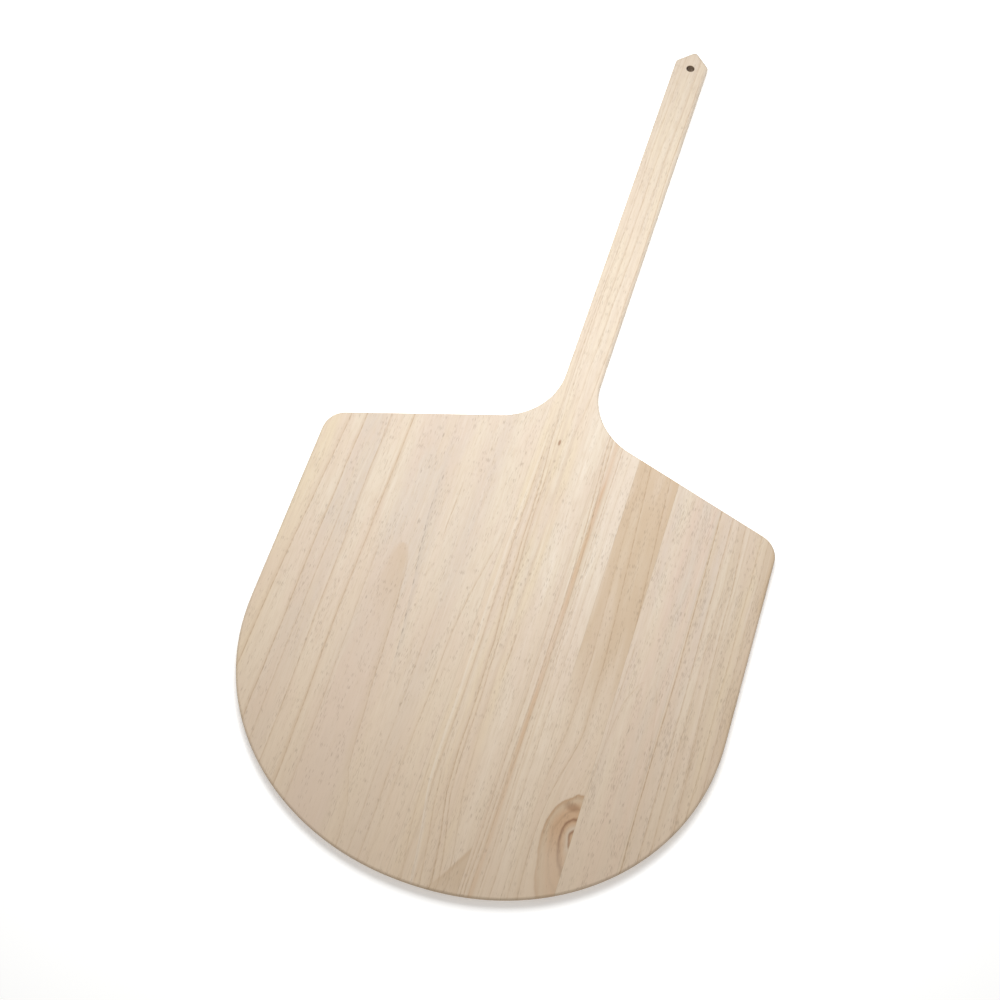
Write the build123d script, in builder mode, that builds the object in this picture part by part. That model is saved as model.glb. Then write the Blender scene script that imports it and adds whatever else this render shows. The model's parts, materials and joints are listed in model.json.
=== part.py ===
"""Wooden pizza peel: six boards glued edge to edge and cut to one outline, blade and handle together.

Millimetres. The blade's rounded front points along -Y and the handle along +Y. The working side faces +Z.
The origin is the centre of the outline's box, on the underside.
"""

import os
from math import atan2, copysign, cos, radians, sin, tan

from build123d import *

# The whole panel
blade_width = 508.0
overall_length = 1066.8
thickness = 12.0

# Blade, with lengths measured back from the front tip
front_depth = 228.0  # from the tip to where the sides become straight
front_fullness = 2.065  # exponent of the front curve: 2 is an ellipse, more is squarer
front_spans = 8  # spline spans in each half of the front curve
corner_reach = 453.0  # to the point where a side and its shoulder would meet
corner_radius = 26.0
shoulder_slope = 17.3  # degrees that the shoulders rise towards the handle
neck_radius = 75.0
blade_edge_radius = 2.5

# Underside of the front, planed down to a thin leading edge. Its surface runs straight from a lower curve,
# on the underside, up to an upper one just outside the blade, so that it dies out towards the sides.
bevel_length = 65.0
leading_edge = 3.2
lower_overhang = 2.0  # of the lower curve beyond the blade's sides
upper_overhang = 6.0  # of the upper curve beyond the blade's sides
tip_overhang = 1.0  # of the upper curve ahead of the tip
waste_margin = 10.0  # of the planed block beyond the blade

# Handle
handle_width = 40.8
handle_edge_radius = 4.0
handle_reach = 592.0  # from the tip to where the blade's neck ends
easing_length = 60.0  # over which the edge rounding grows from the blade's to the handle's
point_rise = 19.5
point_radius = 4.6
hang_hole_diameter = 9.5
hang_hole_inset = 27.0  # from the end of the handle
hang_hole_easing = 0.6
radius_tolerance = 0.01  # when the hole's edges are told from the other arcs

# Glue joints between the boards, from left to right
joints_x = [-25.0, 46.0, 87.0, 135.0, 186.0]
board_names = [
    "left_wing_board",
    "handle_board",
    "streaked_board",
    "knot_board",
    "pale_board",
    "right_edge_board",
]

blade_half = blade_width / 2
handle_half = handle_width / 2
tip_y = -overall_length / 2
end_y = overall_length / 2
sides_y = tip_y + front_depth
corner_y = tip_y + corner_reach
neck_y = corner_y + (blade_half - handle_half) * tan(radians(shoulder_slope))
handle_y = tip_y + handle_reach
bevel_height = thickness - leading_edge
point_slope = atan2(point_rise, handle_half)
peak_y = end_y + point_radius * (1 / cos(point_slope) - 1)  # of the point before it is rounded


def front_curve(half_width, depth):
    """Super-ellipse from left to right, reaching depth ahead of where the sides become straight."""
    points = []
    for step in range(-front_spans, front_spans + 1):
        turn = radians(90 * step / front_spans)
        across = copysign(abs(sin(turn)) ** (2 / front_fullness), step)
        ahead = max(cos(turn), 0.0) ** (2 / front_fullness)
        points.append((half_width * across, sides_y - depth * ahead))
    return Spline(*points, tangents=[(0, -1), (0, 1)], tangent_scalars=[1, 1])


def rims(part):
    """Edges of the part's lowest and highest faces, each face's sorted along the handle."""
    faces = part.faces().sort_by(Axis.Z)
    return faces[0].edges().sort_by(Axis.Y), faces[-1].edges().sort_by(Axis.Y)


# Blade: the front curve, two straight sides, two shoulders and the neck
with BuildPart() as blade:
    with BuildSketch() as outline:
        with BuildLine():
            front = front_curve(blade_half, front_depth)
            Polyline(
                front @ 1,
                (blade_half, corner_y),
                (handle_half, neck_y),
                (handle_half, handle_y),
                (-handle_half, handle_y),
                (-handle_half, neck_y),
                (-blade_half, corner_y),
                front @ 0,
            )
        make_face()
        # The outline's corners come in pairs along Y: ends of the front curve, corners, necks, handle
        fillet(outline.vertices().sort_by(Axis.Y)[4:6], neck_radius)
        fillet(outline.vertices().sort_by(Axis.Y)[2:4], corner_radius)
    extrude(amount=thickness)
    lower, upper = rims(blade)
    fillet(lower[:-1] + upper[:-1], blade_edge_radius)

# Easing: the first stretch of the handle, where the edges grow rounder
with BuildPart() as easing:
    for y, radius in ((handle_y, blade_edge_radius), (handle_y + easing_length, handle_edge_radius)):
        with BuildSketch(Plane((0, y, thickness / 2), x_dir=(1, 0, 0), z_dir=(0, 1, 0))):
            RectangleRounded(handle_width, thickness, radius)
    loft(ruled=True)

# Grip: the rest of the handle, with its pointed end
with BuildPart() as grip:
    with BuildSketch() as pointed:
        with BuildLine():
            Polyline(
                (-handle_half, handle_y + easing_length),
                (handle_half, handle_y + easing_length),
                (handle_half, peak_y - point_rise),
                (0, peak_y),
                (-handle_half, peak_y - point_rise),
                close=True,
            )
        make_face()
        fillet(pointed.vertices().sort_by(Axis.Y)[2:], point_radius)
    extrude(amount=thickness)
    lower, upper = rims(grip)
    fillet(lower[1:] + upper[1:], handle_edge_radius)

# Waste planed off the underside of the front: a block, less what stays under the bevel's surface
with BuildPart() as bevel_waste:
    with BuildSketch():
        with Locations((0, sides_y)):
            Rectangle(
                blade_width + 2 * waste_margin,
                front_depth + waste_margin,
                align=(Align.CENTER, Align.MAX),
            )
    extrude(amount=bevel_height)
    for z, half_width, depth in (
        (0, blade_half + lower_overhang, front_depth - bevel_length),
        (bevel_height, blade_half + upper_overhang, front_depth + tip_overhang),
    ):
        with BuildSketch(Plane.XY.offset(z)):
            with BuildLine():
                reach = front_curve(half_width, depth)
                Line(reach @ 1, reach @ 0)
            make_face()
    loft(ruled=True, mode=Mode.SUBTRACT)

# Panel: the whole outline in one piece, from which each board then takes its strip
with BuildPart() as panel:
    add(blade.part)
    add(easing.part)
    add(grip.part)
    add(bevel_waste.part, mode=Mode.SUBTRACT)
    with Locations((0, end_y - hang_hole_inset, thickness)):
        Hole(hang_hole_diameter / 2)
    hole_rims = panel.edges().filter_by(GeomType.CIRCLE).filter_by(
        lambda edge: abs(edge.radius - hang_hole_diameter / 2) < radius_tolerance
    )
    chamfer(hole_rims, hang_hole_easing)

# Boards
os.makedirs("parts", exist_ok=True)
board_edges_x = [-blade_half, *joints_x, blade_half]
for name, left, right in zip(board_names, board_edges_x[:-1], board_edges_x[1:]):
    with BuildPart() as board:
        add(panel.part)
        with BuildSketch():
            with Locations(((left + right) / 2, 0)):
                Rectangle(right - left, overall_length)
        extrude(amount=thickness, mode=Mode.INTERSECT)
    board.part.label = name
    export_step(board.part, f"parts/{name}.step")
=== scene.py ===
"""Looks of the wooden pizza peel: bare, sanded, pale wood on six glued boards, from above and in front.

Every board keeps its CAD shape and gets a wood material of its own. Positions in the wood are in
millimetres: across from the peel's centreline, to the right with the handle away from the viewer, along
from the front tip towards the handle, and deep from the working side down. The scene itself is in metres.
"""

import json
from dataclasses import dataclass
from functools import reduce
from math import copysign, cos, radians, sin

import bpy
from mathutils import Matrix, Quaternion, Vector


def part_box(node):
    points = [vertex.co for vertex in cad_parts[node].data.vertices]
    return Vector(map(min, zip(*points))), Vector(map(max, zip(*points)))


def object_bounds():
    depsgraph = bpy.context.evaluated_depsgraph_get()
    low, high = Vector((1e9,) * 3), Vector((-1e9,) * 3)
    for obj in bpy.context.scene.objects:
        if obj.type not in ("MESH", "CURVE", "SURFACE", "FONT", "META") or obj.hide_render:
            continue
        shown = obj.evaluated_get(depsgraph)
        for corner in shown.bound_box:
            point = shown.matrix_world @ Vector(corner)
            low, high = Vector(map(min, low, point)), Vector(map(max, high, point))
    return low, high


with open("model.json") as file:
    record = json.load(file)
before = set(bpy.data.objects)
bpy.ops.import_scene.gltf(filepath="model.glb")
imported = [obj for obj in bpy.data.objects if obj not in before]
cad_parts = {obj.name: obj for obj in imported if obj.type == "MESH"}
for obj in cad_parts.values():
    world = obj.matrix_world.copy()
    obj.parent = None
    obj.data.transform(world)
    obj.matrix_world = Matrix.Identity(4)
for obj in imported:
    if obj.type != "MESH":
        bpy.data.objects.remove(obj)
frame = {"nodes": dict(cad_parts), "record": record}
cad_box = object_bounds()

MM = 0.001

low_corner, high_corner = (Vector(corner) for corner in cad_box)
tip_y = low_corner.y
top_z = high_corner.z
hang_hole = next(mount for mount in frame["record"]["mounts"] if mount["name"] == "hang_hole")


# ---------------------------------------------------------------- camera, floor and light

AIM = Vector((-0.0424, -0.1229, top_z))  # where the view's centre meets the working side
CAMERA_AZIMUTH = radians(16.43)
CAMERA_ELEVATION = radians(65.67)
CAMERA_ROLL = radians(1.74)
CAMERA_DISTANCE = 1.5876
CAMERA_LENS = 53.45

FLOOR_REACH = 30.0
FLOOR_GAP = 0.0005  # under the peel
FLOOR_LEVEL = 0.93
FLOOR_GLOW = 0.25  # keeps it pale away from the lamp

LAMP_PLACE = (-0.12, 0.165, 0.86)
LAMP_SIZE = 0.7
LAMP_ENERGY = 11.0
LAMP_COLOUR = (0.96, 0.985, 1.0)
WORLD_COLOUR = (1.0, 0.975, 0.94, 1.0)
WORLD_STRENGTH = 0.45


def add_object(name, data):
    made = bpy.data.objects.new(name, data)
    bpy.context.scene.collection.objects.link(made)
    return made


def make_camera():
    """Camera above the front of the blade, rolled so that the handle leans to the right."""
    outwards = Vector(
        (
            sin(CAMERA_AZIMUTH) * cos(CAMERA_ELEVATION),
            -cos(CAMERA_AZIMUTH) * cos(CAMERA_ELEVATION),
            sin(CAMERA_ELEVATION),
        )
    )
    camera = add_object("camera", bpy.data.cameras.new("camera"))
    camera.data.lens = CAMERA_LENS
    camera.location = AIM + outwards * CAMERA_DISTANCE
    camera.rotation_mode = "QUATERNION"
    level = outwards.to_track_quat("Z", "Y")
    camera.rotation_quaternion = level @ Quaternion((0, 0, 1), CAMERA_ROLL)
    bpy.context.scene.camera = camera


def make_floor():
    """Plain, nearly white floor under the peel."""
    mesh = bpy.data.meshes.new("floor")
    corners = [(x * FLOOR_REACH, y * FLOOR_REACH, 0) for x, y in ((-1, -1), (1, -1), (1, 1), (-1, 1))]
    mesh.from_pydata(corners, [], [(0, 1, 2, 3)])
    floor = add_object("floor", mesh)
    floor.location.z = low_corner.z - FLOOR_GAP
    material = bpy.data.materials.new("floor_paper")
    material.use_nodes = True
    shader = material.node_tree.nodes["Principled BSDF"]
    shader.inputs["Base Color"].default_value = (FLOOR_LEVEL, FLOOR_LEVEL, FLOOR_LEVEL, 1)
    shader.inputs["Roughness"].default_value = 0.9
    shader.inputs["Specular IOR Level"].default_value = 0.0
    shader.inputs["Emission Color"].default_value = (1, 1, 1, 1)
    shader.inputs["Emission Strength"].default_value = FLOOR_GLOW
    mesh.materials.append(material)


def make_lights():
    """One broad soft light over the handle's root, and an even white surrounding."""
    data = bpy.data.lights.new("softbox", "AREA")
    data.shape = "SQUARE"
    data.color = LAMP_COLOUR
    data.size = LAMP_SIZE
    data.energy = LAMP_ENERGY
    lamp = add_object("softbox", data)
    lamp.location = LAMP_PLACE
    lamp.visible_camera = False
    world = bpy.data.worlds.new("studio")
    world.use_nodes = True
    surrounding = world.node_tree.nodes["Background"]
    surrounding.inputs["Color"].default_value = WORLD_COLOUR
    surrounding.inputs["Strength"].default_value = WORLD_STRENGTH
    bpy.context.scene.world = world
    bpy.context.scene.view_settings.view_transform = "Standard"


# ---------------------------------------------------------------- node arithmetic


class Value:
    """A number or colour in a material's nodes. Arithmetic on it adds Math nodes."""

    def __init__(self, tree, socket):
        self.tree = tree
        self.socket = socket

    def math(self, operation, *others):
        node = self.tree.nodes.new("ShaderNodeMath")
        node.operation = operation
        for socket, value in zip(node.inputs, (self, *others)):
            put(self.tree, socket, value)
        return Value(self.tree, node.outputs[0])

    def __add__(self, other):
        return self.math("ADD", other)

    def __sub__(self, other):
        return self.math("SUBTRACT", other)

    def __mul__(self, other):
        return self.math("MULTIPLY", other)

    def __truediv__(self, other):
        return self.math("DIVIDE", other)

    def power(self, exponent):
        return self.math("POWER", exponent)

    def step(self, start, end):
        """Smooth step from 0 at start to 1 at end, where end may be below start."""
        node = self.tree.nodes.new("ShaderNodeMapRange")
        node.interpolation_type = "SMOOTHSTEP"
        for name, value in (("Value", self), ("From Min", start), ("From Max", end)):
            put(self.tree, node.inputs[name], value)
        return Value(self.tree, node.outputs["Result"])

    def bump(self, centre, reach):
        """1 at centre, falling smoothly to 0 at reach on either side of it."""
        return (self - centre).math("ABSOLUTE").step(reach, 0.0)

    def ramp(self, stops, interpolation="LINEAR"):
        """Colours joined up through stops of (place from 0 to 1, colour)."""
        node = self.tree.nodes.new("ShaderNodeValToRGB")
        node.color_ramp.interpolation = interpolation
        elements = node.color_ramp.elements
        while len(elements) < len(stops):
            elements.new(1.0)
        for element, (place, colour) in zip(elements, stops):
            element.position = place
            element.color = colour
        put(self.tree, node.inputs["Fac"], self)
        return Value(self.tree, node.outputs["Color"])


def put(tree, socket, value):
    """Feeds a socket with a Value, or sets it to a plain number or colour."""
    if isinstance(value, Value):
        tree.links.new(value.socket, socket)
    else:
        socket.default_value = value


def mix(factor, first, second):
    """Colour between first and second, as far as factor says."""
    tree = factor.tree
    node = tree.nodes.new("ShaderNodeMix")
    node.data_type = "RGBA"
    colours = [socket for socket in node.inputs if socket.type == "RGBA"]
    put(tree, node.inputs["Factor"], factor)
    put(tree, colours[0], first)
    put(tree, colours[1], second)
    result = [socket for socket in node.outputs if socket.type == "RGBA"][0]
    return Value(tree, result)


# ---------------------------------------------------------------- wood


def tone(red, green, blue):
    """Colour from display levels of 0 to 255."""

    def linear(level):
        level /= 255
        return level / 12.92 if level <= 0.04045 else ((level + 0.055) / 1.055) ** 2.4

    return (linear(red), linear(green), linear(blue), 1.0)


MILK = tone(204, 191, 175)
CREAM = tone(197, 182, 163)
STRAW = tone(198, 181, 156)
ROSE = tone(193, 172, 155)
ASH = tone(188, 173, 158)
GREY = tone(172, 159, 146)
TAN = tone(186, 167, 145)
# colour laid towards the front tip: partly the wood's tone, partly painted shade
SANDY_SHADE = tone(196, 173, 147)
TOAST = tone(179, 155, 127)
AMBER = tone(177, 143, 110)
BROWN = tone(164, 132, 100)
RING = tone(150, 122, 94)
PORE = tone(122, 106, 92)
KNOT = tone(128, 88, 54)
# very dark brown: painted shade for the hang hole's wall
HOLE_SHADE = tone(66, 38, 20)
GLUE = tone(160, 140, 116)

LENGTH = (high_corner.y - low_corner.y) / MM
MARGIN = 12.0  # that a board's zones and rings may reach past its sides
SEED_STEP = 37.0  # between the noises of two boards, in noise units
SHIFT_STEP = 11.0  # between two noises of one board
NOISE_SWING = 4.0  # brings a noise's swing, about a quarter to each side of its middle, to 1
LEAN_CENTRE = 250.0  # place along, about which leaning fibres turn
SANDY_SHADE_ALONG = 430.0  # from here to the front tip the wood grows sandier and darker: partly its own tone, partly painted shade where the lamp's light falls off
MILKY_SHEEN_ALONG = 620.0  # and from there to here milkier: partly its own tone, partly painted light and sheen nearer the lamp

RING_WIDTH = 1.0  # from a ring line's middle to its edge
RING_STRENGTH = 0.6
SHADE_STRENGTH = 0.5
PORE_STRENGTH = 0.28
PORE_LEVEL = 0.76  # noise level at which the rarest pores begin
PORE_CROWDING = 0.20  # how far that level falls in the thickest stretches
END_GRAIN_STRENGTH = 0.4
JOINT_STRENGTH = 0.4
JOINT_WIDTH = 0.5  # on each side of a glue line
RELIEF_DEPTH = 0.12 * MM

ARCH_ROUNDING = 0.3  # exponent of the cathedral's arch: 1 is a sharp point, less is blunter
PATCH_ACROSS = 45.0  # tip of the brown patch at the front
PATCH_ALONG = 50.0
PATCH_SLOPE = 0.6  # sideways travel of its edge per millimetre along
HOLE_ALONG = (hang_hole["pos_m"][1] - tip_y) / MM
HOLE_REACH = hang_hole["dims"]["r_mm"] + 0.2  # a little more than the hole's wall, to take all of it
KNOT_ACROSS = 135.5  # just past the joint that cuts the knot
KNOT_ALONG = 92.0
KNOT_WIDTH = 31.0  # of the half that shows
KNOT_AHEAD = 90.0  # how far it reaches towards the front
KNOT_BEHIND = 43.0  # and towards the handle
KNOT_POINT = 1.75  # exponent of its arches: 2 is an ellipse, less is more pointed
KNOT_SWAY = 110.0  # length ahead of it and behind it over which the rings go round it
KNOT_SIDE = (85.0, 104.0)  # places across between which their detour grows to its full


@dataclass
class Ring:
    """A thin dark ring line, with a soft shade along one side of it."""

    shade: float  # how far the shade reaches, to the right, or to the left where it is negative
    points: list  # (along, across, strength) of the line


@dataclass
class Grain:
    """How one board's wood looks, with places and lengths in millimetres."""

    board: str
    seed: float
    zones: list  # (across, colour) of the wood itself
    rings: list  # each one a Ring
    lean: float = 0.0  # sideways travel of the fibres per millimetre along
    slant: float = 0.8  # sideways travel of the rings per millimetre of depth
    wander: float = 1.6  # how far the rings stray to each side
    pores: float = 1.0  # how many there are, against the usual
    detour: float = 0.0  # how far the rings go round the knot


@dataclass
class Layer:
    """Long patches of another colour, where a noise is high."""

    colour: tuple
    strength: float
    width: float
    length: float
    detail: int
    start: float  # noise level at which a patch begins
    full: float  # noise level at which it is full
    shift: int  # sets its noise apart from the board's others

    def over(self, wood, colour):
        """The colour with the patches laid over it."""
        noise = wood.noise(wood.grained, self.width, self.length, detail=self.detail, shift=self.shift)
        return mix(noise.step(self.start, self.full) * self.strength, colour, self.colour)


class Wood:
    """A board's material while it is being made: its coordinates, noises and figures.

    ringed is the place across that the rings see: it wanders, goes round the knot and slants with depth.
    grained is the same for the fibres and pores, which also lean.
    """

    def __init__(self, grain):
        self.grain = grain
        self.material = bpy.data.materials.new(grain.board + "_wood")
        self.material.use_nodes = True
        self.tree = self.material.node_tree
        self.shader = self.tree.nodes["Principled BSDF"]
        place = self.tree.nodes.new("ShaderNodeTexCoord").outputs["Object"]
        x, y, z = self.split(place)
        self.across = x / MM
        self.along = (y - tip_y) / MM
        self.depth = (z * -1.0 + top_z) / MM
        low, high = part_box(grain.board)
        self.left, self.right = low.x / MM, high.x / MM
        self.span = self.right - self.left + 2 * MARGIN
        stray = self.noise(self.across, width=60, length=170, thickness=30, detail=2) - 0.5
        wander = stray * (NOISE_SWING * grain.wander)
        self.ringed = self.across + wander + self.depth * grain.slant
        if grain.detour:
            beside = self.along.bump(KNOT_ALONG, KNOT_SWAY) * self.across.step(*KNOT_SIDE)
            self.ringed = self.ringed + beside * grain.detour
        self.grained = self.ringed + (self.along - LEAN_CENTRE) * -grain.lean

    def split(self, vector):
        node = self.tree.nodes.new("ShaderNodeSeparateXYZ")
        self.tree.links.new(vector, node.inputs[0])
        return [Value(self.tree, socket) for socket in node.outputs]

    def noise(self, across, width, length, thickness=None, detail=1.0, shift=0.0):
        """Noise whose spots are about width by length, and as thick as they are wide unless said.

        Noises of one board differ by their shift.
        """
        join = self.tree.nodes.new("ShaderNodeCombineXYZ")
        offset = self.grain.seed * SEED_STEP + shift * SHIFT_STEP
        put(self.tree, join.inputs[0], across / width + offset)
        put(self.tree, join.inputs[1], self.along / length + offset)
        put(self.tree, join.inputs[2], self.depth / (thickness or width))
        node = self.tree.nodes.new("ShaderNodeTexNoise")
        node.inputs["Scale"].default_value = 1.0
        node.inputs["Detail"].default_value = detail
        self.tree.links.new(join.outputs[0], node.inputs["Vector"])
        return Value(self.tree, node.outputs[0])

    def level(self, across):
        """Place across the board and its margins, from 0 to 1."""
        return (across - self.left + MARGIN) / self.span

    def oval(self, across, along, half_width, half_length):
        """Distance from an oval's centre, 1 on the oval itself."""
        u = (self.across - across) / half_width
        v = (self.along - along) / half_length
        return (u * u + v * v).power(0.5)

    def arch(self, across, along, spread):
        """Distance in from a blunt arch that opens towards the front, with its tip at (across, along)."""
        ahead = (self.along * -1.0 + along).math("MAXIMUM", 0.0)
        reach = ahead.power(ARCH_ROUNDING) * spread
        return reach - (self.ringed - across).math("ABSOLUTE")

    def ring(self, ring):
        """The line and the shade of a ring, whose place and strength come from a colour ramp."""
        stops = [
            (along / LENGTH, (self.level(across), strength, 0, 1))
            for along, across, strength in ring.points
        ]
        place, strength, _ = self.split((self.along / LENGTH).ramp(stops, "CARDINAL").socket)
        offset = (self.level(self.ringed) - place) * self.span
        line = offset.bump(0.0, RING_WIDTH)
        sharp_side = -copysign(RING_WIDTH, ring.shade)
        shade = offset.step(ring.shade, 0.0) * offset.step(sharp_side, 0.0)
        return line * strength, shade * strength


# Pinkish clouds, warm patches, darker streaks and pale streaks
LAYERS = [
    Layer(ROSE, 0.5, width=30, length=110, detail=2, start=0.40, full=0.64, shift=1),
    Layer(STRAW, 0.25, width=16, length=120, detail=2, start=0.50, full=0.72, shift=2),
    Layer(TAN, 0.4, width=3.4, length=150, detail=2, start=0.48, full=0.74, shift=3),
    Layer(MILK, 0.3, width=2.6, length=110, detail=1, start=0.50, full=0.76, shift=4),
]


def base_colour(wood):
    """The wood's colour: zones across the board, then clouds and streaks, then a lengthwise change that is
    partly its own tone and partly painted light, then fibres.
    """
    stops = [(wood.level(across), colour) for across, colour in wood.grain.zones]
    colour = wood.level(wood.grained).ramp(stops)
    for layer in LAYERS:
        colour = layer.over(wood, colour)
    # partly the wood's tone, partly painted light: sandier and darker towards the front tip, milkier
    # towards the handle
    colour = mix(wood.along.step(SANDY_SHADE_ALONG, 0) * 0.6, colour, SANDY_SHADE)
    colour = mix(wood.along.step(SANDY_SHADE_ALONG, MILKY_SHEEN_ALONG) * 0.5, colour, MILK)
    fibres = wood.noise(wood.grained, width=1.3, length=20, detail=2, shift=5)
    return mix(fibres.step(0.44, 0.74) * 0.55, colour, TAN), fibres


def strongest(values):
    """The highest of several values at each place."""
    return reduce(lambda first, second: first.math("MAXIMUM", second), values)


def ring_lines(wood):
    """All the board's rings together: their beaded lines, and their soft shades."""
    lines, shades = zip(*(wood.ring(ring) for ring in wood.grain.rings))
    beads = wood.noise(wood.grained, width=1.6, length=6.0, detail=1, shift=6)
    return strongest(lines) * (beads.step(0.36, 0.60) * 0.75 + 0.25), strongest(shades)


def open_pores(wood):
    """Short dark dashes, thick in some stretches and rare in others."""
    dashes = wood.noise(wood.grained, width=0.7, length=7.0, detail=0, shift=8)
    crowds = wood.noise(wood.grained, width=9, length=60, detail=2, shift=9)
    crowding = crowds.step(0.34, 0.66) * PORE_CROWDING * wood.grain.pores
    threshold = crowding * -1.0 + PORE_LEVEL
    return (dashes - threshold).step(0.0, 0.16)


def finish_wood(wood, colour, darkness, fibres):
    """End grain, glue lines, roughness and fine relief, common to all boards."""
    normal = wood.tree.nodes.new("ShaderNodeNewGeometry").outputs["True Normal"]
    facing_along = wood.split(normal)[1].math("ABSOLUTE")
    colour = mix(facing_along.step(0.35, 0.8) * END_GRAIN_STRENGTH, colour, TOAST)
    blade_edge = high_corner.x / MM
    for side in (wood.left, wood.right):
        if abs(side) < blade_edge - 1:  # a glue line, not the blade's own edge
            colour = mix(wood.across.bump(side, JOINT_WIDTH) * JOINT_STRENGTH, colour, GLUE)
    shader, tree = wood.shader, wood.tree
    put(tree, shader.inputs["Base Color"], colour)
    put(tree, shader.inputs["Roughness"], fibres * 0.16 + darkness * 0.1 + 0.5)
    shader.inputs["Specular IOR Level"].default_value = 0.4
    relief = tree.nodes.new("ShaderNodeBump")
    relief.inputs["Strength"].default_value = 0.5
    relief.inputs["Distance"].default_value = RELIEF_DEPTH
    put(tree, relief.inputs["Height"], fibres * 0.6 - darkness)
    tree.links.new(relief.outputs["Normal"], shader.inputs["Normal"])


# ---------------------------------------------------------------- figures of single boards


def flecks(wood, colour, places):
    """Small dark spots at (across, along, half width, half length)."""
    for place in places:
        colour = mix(wood.oval(*place).step(1.2, 0.4) * 0.4, colour, PORE)
    return colour


def cathedral(wood, colour):
    """Left board: the pinkish arch in its middle, browner at its tip, and the grey band beside it."""
    inside = wood.arch(across=-123, along=332, spread=4.4)
    colour = mix(inside.step(-2, 8) * 0.35, colour, ROSE)
    near_tip = wood.along.step(200, 325) * wood.ringed.step(-142, -122)
    colour = mix(inside.step(-2, 5) * near_tip * 0.5, colour, TOAST)
    band = [(150, -87, 0), (243, -92, 1), (310, -102, 1), (360, -109, 1), (470, -114, 0)]
    line, shade = wood.ring(Ring(7.0, band))
    dashes = wood.noise(wood.grained, width=1.6, length=9, detail=1, shift=12).step(0.45, 0.65)
    colour = mix(shade * 0.35, colour, GREY)
    colour = mix(line * dashes * 0.6, colour, PORE)
    spots = [(-125, 465, 1, 3.5), (-109, 417, 0.9, 4), (-117, 360, 0.9, 4), (-140, 262, 0.9, 2.5)]
    return flecks(wood, colour, spots)


def handle_details(wood, colour):
    """Handle board: a pale streak, a brown patch at the front, a pin knot, and painted shade on the hang
    hole's wall.
    """
    streak = [
        (0, 0, 0.9), (60, -8, 0.9), (100, -15, 0.9), (190, -17, 0.9), (400, -19.3, 0.9), (560, -17, 0.2),
    ]
    _, shade = wood.ring(Ring(4.0, streak))
    colour = mix(shade * 0.6, colour, MILK)
    inside = wood.ringed - PATCH_ACROSS + (wood.along * -1.0 + PATCH_ALONG) * PATCH_SLOPE
    colour = mix(inside.step(-1.5, 1.5) * wood.along.step(-30, 25) * 0.6, colour, TOAST)
    colour = mix(inside.bump(2.0, 4.0) * wood.along.step(5, 30) * 0.2, colour, BROWN)
    pin_knot = wood.oval(across=-2, along=496, half_width=1.6, half_length=4.2)
    colour = mix(pin_knot.step(1.2, 0.5) * 0.7, colour, KNOT)
    # painted shade: the hang hole's wall and a thin ring round it turn very dark brown
    hole = wood.oval(0, HOLE_ALONG, HOLE_REACH, HOLE_REACH)
    return mix(hole.step(1.05, 0.95), colour, HOLE_SHADE)


def streak_details(wood, colour):
    """Streaked board: a paler right half towards the handle."""
    return mix(wood.along.step(250, 420) * wood.across.step(64, 70) * 0.3, colour, MILK)


def knot_details(wood, colour):
    """Knot board: browner towards the handle, with half a knot that ends at the next board."""
    toast = wood.noise(wood.grained, width=12, length=90, detail=2, shift=12).step(0.3, 0.6)
    colour = mix(wood.along.step(195, 300) * (toast * 0.4 + 0.4), colour, TOAST)
    u = ((wood.across - KNOT_ACROSS) / KNOT_WIDTH).math("ABSOLUTE")
    behind = wood.along - KNOT_ALONG
    v = (behind / KNOT_BEHIND).math("MAXIMUM", behind / -KNOT_AHEAD)
    wobble = (wood.noise(wood.across, width=9, length=22, detail=2, shift=13) - 0.5) * 0.16
    reach = (u.power(KNOT_POINT) + v.power(KNOT_POINT)).power(1 / KNOT_POINT) + wobble
    stops = [
        (0.0, AMBER), (0.06, AMBER), (0.12, KNOT), (0.18, TAN), (0.32, AMBER), (0.39, KNOT),
        (0.45, AMBER), (0.58, AMBER), (0.63, BROWN), (0.68, AMBER), (0.84, TOAST), (0.95, BROWN),
        (1.0, TAN),
    ]
    upper = wood.along.step(55, 104)
    colour = mix(reach.step(1.02, 0.95) * (upper * 0.5 + 0.45), colour, reach.ramp(stops))
    heart = wood.oval(across=127, along=119, half_width=9, half_length=5)
    return mix(heart.step(1.3, 0.3) * 0.55, colour, KNOT)


def pale_details(wood, colour):
    """Pale board: two small dark flecks."""
    return flecks(wood, colour, [(165.7, 117, 1.0, 3.0), (158, 210, 0.8, 2.5)])


# ---------------------------------------------------------------- the six boards


def dress(grain, details=None):
    """Gives a board its wood. details(wood, colour) adds what only that board has."""
    wood = Wood(grain)
    colour, fibres = base_colour(wood)
    lines, shades = ring_lines(wood)
    pores = open_pores(wood)
    colour = mix(shades * SHADE_STRENGTH, colour, TOAST)
    if details:
        colour = details(wood, colour)
    colour = mix(lines * RING_STRENGTH, colour, RING)
    colour = mix(pores * PORE_STRENGTH, colour, PORE)
    finish_wood(wood, colour, strongest([lines, pores]), fibres)
    board = frame["nodes"][grain.board]
    board.data.materials.clear()
    board.data.materials.append(wood.material)


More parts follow.
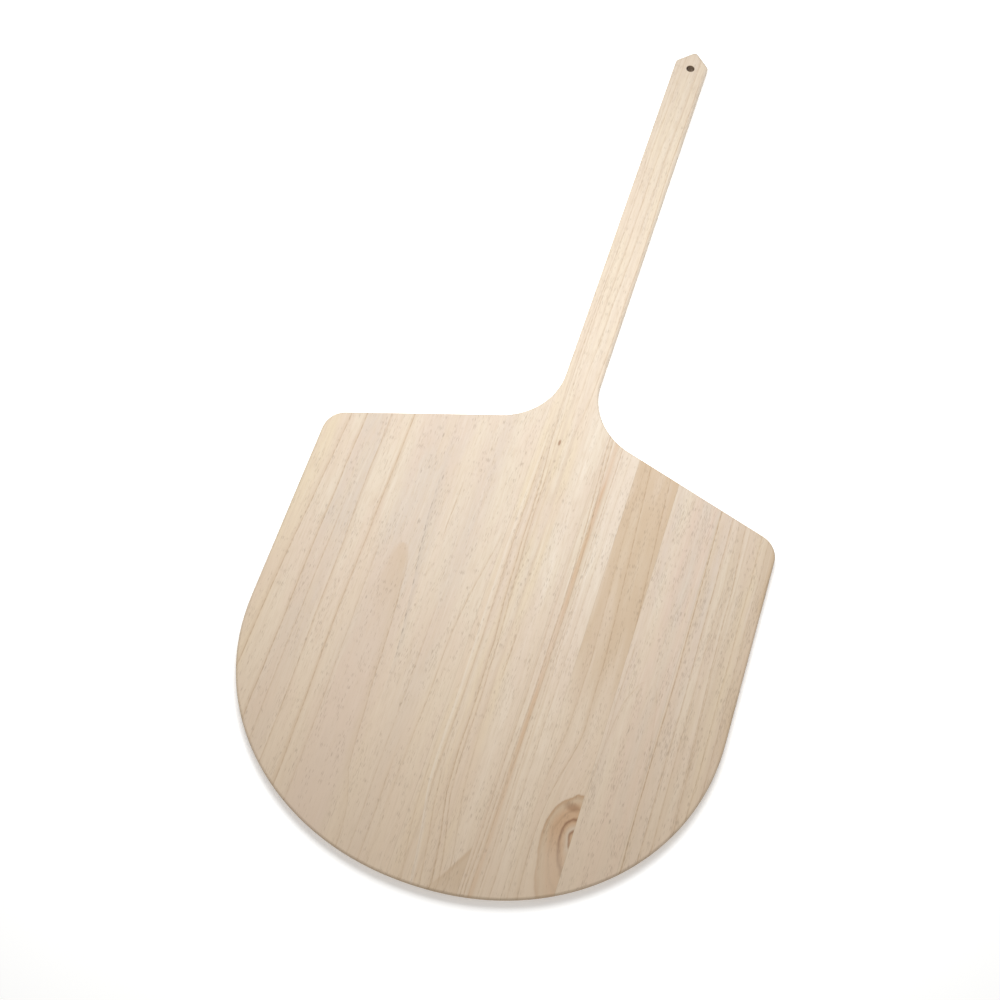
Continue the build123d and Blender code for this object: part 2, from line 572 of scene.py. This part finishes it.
LEFT_WING = Grain(
    "left_wing_board",
    seed=1.0,
    zones=[
        (-254, STRAW), (-240, STRAW), (-232, CREAM), (-216, CREAM), (-210, ASH), (-188, ASH),
        (-181, CREAM), (-165, CREAM), (-162, TAN), (-158, CREAM), (-140, ASH), (-100, ASH),
        (-90, CREAM), (-60, ASH), (-45, CREAM), (-25, CREAM),
    ],
    rings=[
        Ring(-5, [(90, -240, 0.5), (160, -239, 0.8), (260, -237, 0.8), (460, -230, 0.7)]),
        Ring(-4, [(60, -212, 0.8), (470, -213.5, 0.8)]),
        Ring(2, [(90, -199, 0.4), (330, -199, 0.5), (370, -199, 0)]),
        Ring(3, [(93, -181, 0.5), (193, -182, 0.6), (293, -184, 0.6), (410, -187, 0.6)]),
        Ring(-4, [(67, -159, 0.7), (127, -161, 0.7), (227, -162.5, 0.7), (360, -163.5, 0.7),
                  (460, -163, 0.7)]),
        Ring(-3, [(93, -144, 0.4), (210, -145, 0.4), (310, -147, 0.4), (340, -148, 0)]),
        Ring(-9, [(27, -80, 0.4), (60, -85, 0.4), (87, -95, 0.4), (167, -102, 0.6), (243, -105, 0.7),
                  (277, -108.5, 0.6), (310, -112, 0.4), (330, -118, 0)]),
        Ring(-2, [(345, -87, 0), (360, -87, 0.5), (410, -87, 0.5), (425, -87, 0)]),
        Ring(-2, [(70, -67, 0.3), (260, -67, 0.35), (290, -67, 0)]),
        Ring(-3, [(80, -46, 0.2), (177, -44, 0.5), (260, -42, 0.5), (343, -32, 0.5), (380, -28, 0)]),
        Ring(-3, [(20, -55, 0.4), (95, -55, 0.4), (120, -55, 0)]),
    ],
    lean=-0.004,
)
HANDLE = Grain(
    "handle_board",
    seed=2.0,
    zones=[
        (-25, CREAM), (-20, STRAW), (-14, STRAW), (-12, TAN), (-9, CREAM), (-3, STRAW),
        (0, TAN), (3, STRAW), (10, CREAM), (14, TAN), (16, STRAW), (20, STRAW), (25, CREAM),
        (34, MILK), (40, CREAM), (46, CREAM),
    ],
    rings=[
        Ring(-3, [(13, 18, 0.8), (60, 11, 0.8), (93, 5, 0.8), (260, 1, 0.8), (293, -2, 0.8), (360, -5, 0.8),
                  (427, -7, 0.8), (473, -10, 0.7), (540, -14, 0.3)]),
        Ring(-2, [(13, 24, 0.5), (60, 16, 0.6), (93, 9, 0.6), (260, 5, 0.6), (360, -1, 0.6), (470, -5, 0.5),
                  (560, -8, 0.3), (700, -10, 0.5), (760, -10, 0)]),
        Ring(-2, [(100, -11, 0.3), (300, -13, 0.5), (480, -16, 0.5), (540, -17, 0)]),
        Ring(-3, [(215, 21, 0), (235, 21, 0.6), (270, 21, 0.6), (290, 21, 0)]),
        Ring(-2, [(5, 8, 0.5), (60, 0, 0.5), (110, -6, 0.4), (220, -9, 0)]),
        Ring(-2, [(5, 0, 0.4), (60, -7, 0.4), (100, -11, 0.3), (160, -13, 0)]),
        Ring(-2, [(5, -10, 0.4), (50, -17, 0.4), (120, -21, 0.3), (250, -22, 0)]),
        Ring(-2, [(20, 32, 0.3), (90, 22, 0.4), (160, 17, 0.3), (260, 14, 0)]),
        Ring(-2, [(480, 8, 0), (560, 16, 0.5), (1000, 16, 0.6), (1040, 16, 0.2)]),
        Ring(-2, [(540, -12, 0.2), (600, -12, 0.6), (700, -12, 0.5), (900, -11, 0.4), (1030, -9, 0.3)]),
        Ring(-3, [(540, 3, 0.2), (640, 4, 0.5), (800, 6, 0.5), (1000, 9, 0.4)]),
        Ring(-2, [(620, -3, 0), (700, -3, 0.4), (860, -2, 0.5), (960, 0, 0.2)]),
    ],
    lean=-0.008,
)
STREAKED = Grain(
    "streaked_board",
    seed=3.0,
    zones=[
        (46, CREAM), (48, TAN), (50, CREAM), (53, CREAM), (54.5, MILK), (56, TAN), (57.5, AMBER),
        (59.5, AMBER), (61.5, TAN), (64, CREAM), (66, MILK), (68, TAN), (70, MILK), (74, CREAM), (80, MILK),
        (87, CREAM),
    ],
    rings=[
        Ring(-4, [(27, 57, 0.5), (127, 59, 0.5), (227, 60.5, 0.5), (360, 60.5, 0.7), (443, 56, 0.8),
                  (515, 53, 0.8)]),
        Ring(-2, [(27, 52.5, 0.6), (127, 54.5, 0.6), (227, 56, 0.6), (360, 55.5, 0.7), (443, 52, 0.7),
                  (515, 49, 0.6)]),
        Ring(-2, [(27, 65.5, 0.5), (500, 65.5, 0.6)]),
        Ring(-2, [(27, 76, 0.4), (500, 77, 0.3)]),
        Ring(-1.5, [(27, 49, 0.5), (200, 49.5, 0.5), (300, 49, 0.3), (420, 48, 0)]),
    ],
    wander=0.8,
    slant=0.3,
)
KNOTTY = Grain(
    "knot_board",
    seed=4.0,
    zones=[(87, CREAM), (92, CREAM), (98, TAN), (106, CREAM), (116, TAN), (122, CREAM), (135, TAN)],
    rings=[
        Ring(-4, [(40, 106, 0.5), (177, 115, 0.6), (227, 115, 0.6), (293, 113, 0.8), (393, 108, 0.9),
                  (493, 101, 0.9)]),
        Ring(-4, [(200, 136, 0), (293, 135, 0.7), (343, 133, 0.9), (410, 130, 0.9), (477, 125, 0.9)]),
        Ring(-3, [(40, 94, 0.4), (200, 100, 0.4), (300, 100, 0.5), (440, 95, 0.4)]),
    ],
    lean=-0.03,
    slant=0.5,
    detour=12.0,
)
PALE = Grain(
    "pale_board",
    seed=5.0,
    zones=[(135, CREAM), (140, ASH), (150, CREAM), (160, ROSE), (172, ASH), (180, ROSE), (186, ASH)],
    rings=[
        Ring(3, [(100, 134, 0.2), (136, 136, 0.3), (193, 141, 0.35), (243, 148, 0.35), (262, 157, 0.2),
                 (272, 166, 0)]),
        Ring(-3, [(60, 190, 0.2), (193, 184, 0.25), (243, 178, 0.25), (262, 172, 0.2), (272, 166, 0)]),
        Ring(2, [(160, 140, 0), (185, 140, 0.3), (290, 140, 0.4), (310, 140, 0)]),
    ],
    pores=1.25,
)
RIGHT_EDGE = Grain(
    "right_edge_board",
    seed=6.0,
    zones=[
        (186, CREAM), (190, TAN), (196, ASH), (204, CREAM), (214, TAN), (220, CREAM),
        (228, TAN), (236, STRAW), (244, TAN), (254, TOAST),
    ],
    rings=[
        Ring(-2, [(60, 188.7, 1), (440, 187.3, 1)]),
        Ring(3, [(110, 202, 0.7), (227, 202, 0.6), (343, 200.7, 0.7), (460, 200.7, 0.7)]),
        Ring(3, [(120, 226, 0.3), (260, 222, 0.6), (400, 218, 0.7), (460, 216, 0.6)]),
        Ring(3, [(120, 228, 0.6), (277, 223, 0.6), (320, 222, 0.3)]),
        Ring(3, [(150, 236, 0.6), (440, 235, 0.6)]),
        Ring(3, [(170, 244, 0.5), (440, 243, 0.5)]),
        Ring(2, [(90, 212, 0.5), (250, 210, 0.4), (440, 209, 0.2)]),
    ],
    pores=1.3,
)

make_camera()
make_floor()
make_lights()
dress(LEFT_WING, cathedral)
dress(HANDLE, handle_details)
dress(STREAKED, streak_details)
dress(KNOTTY, knot_details)
dress(PALE, pale_details)
dress(RIGHT_EDGE)
